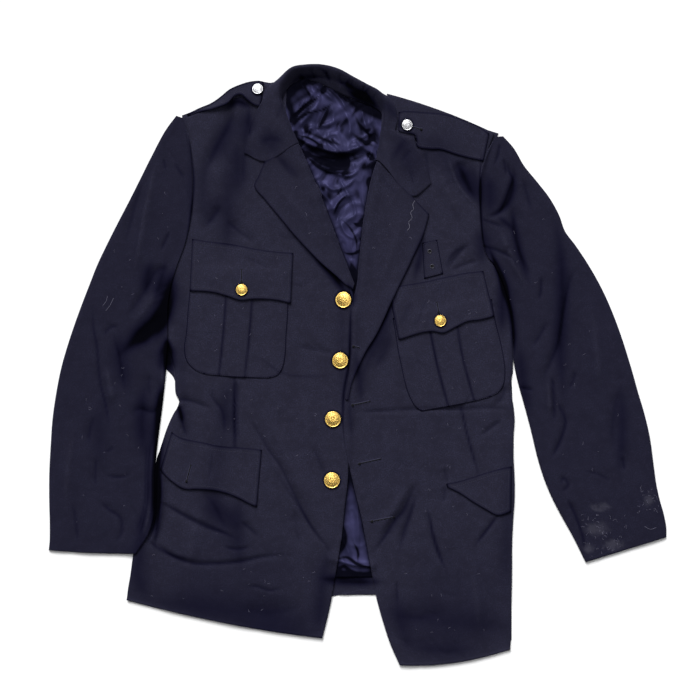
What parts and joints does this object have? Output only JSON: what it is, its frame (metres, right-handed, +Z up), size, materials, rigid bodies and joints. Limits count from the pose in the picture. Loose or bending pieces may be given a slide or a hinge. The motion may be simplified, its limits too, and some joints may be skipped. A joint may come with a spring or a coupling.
{
  "type": "firefighter dress jacket",
  "caption": "Firefighter's dark navy dress jacket with notched lapels, flap pockets, epaulettes and domed metal buttons, unfastened and laid flat with its front up.",
  "frame": {"origin": "on the surface under the middle of the laid-out jacket", "axes": "+X to the viewer's right across the front, +Y towards the collar, +Z up from the surface it lies on"},
  "size_m": [0.8811, 0.8553, 0.0257],
  "materials": {
    "wool": "dark navy wool twill with a soft nap",
    "satin": "blue satin lining, creased",
    "gold": "polished gold colour with a beaded rim and a plain rosette",
    "silver": "polished silver colour",
    "steel": "polished"
  },
  "bodies": {
    "root": {"back": "wool", "front_right": "wool", "front_left": "wool", "under_sleeve_right": "wool", "top_sleeve_right": "wool", "under_sleeve_left": "wool", "top_sleeve_left": "wool", "collar": "wool", "lapel_right": "wool", "lapel_left": "wool", "chest_pocket_right": "wool", "chest_pocket_left": "wool", "chest_flap_right": "wool", "chest_flap_left": "wool", "lower_flap_right": "wool", "lower_flap_left": "wool", "epaulette_right": "wool", "epaulette_left": "wool", "badge_tab": "wool", "back_lining": "satin", "front_button_1": "gold", "front_button_2": "gold", "front_button_3": "gold", "front_button_4": "gold", "pocket_button_right": "gold", "pocket_button_left": "gold", "epaulette_button_right": "silver", "epaulette_button_left": "silver", "eyelet_upper": "steel", "eyelet_lower": "steel"}
  },
  "joints": []
}
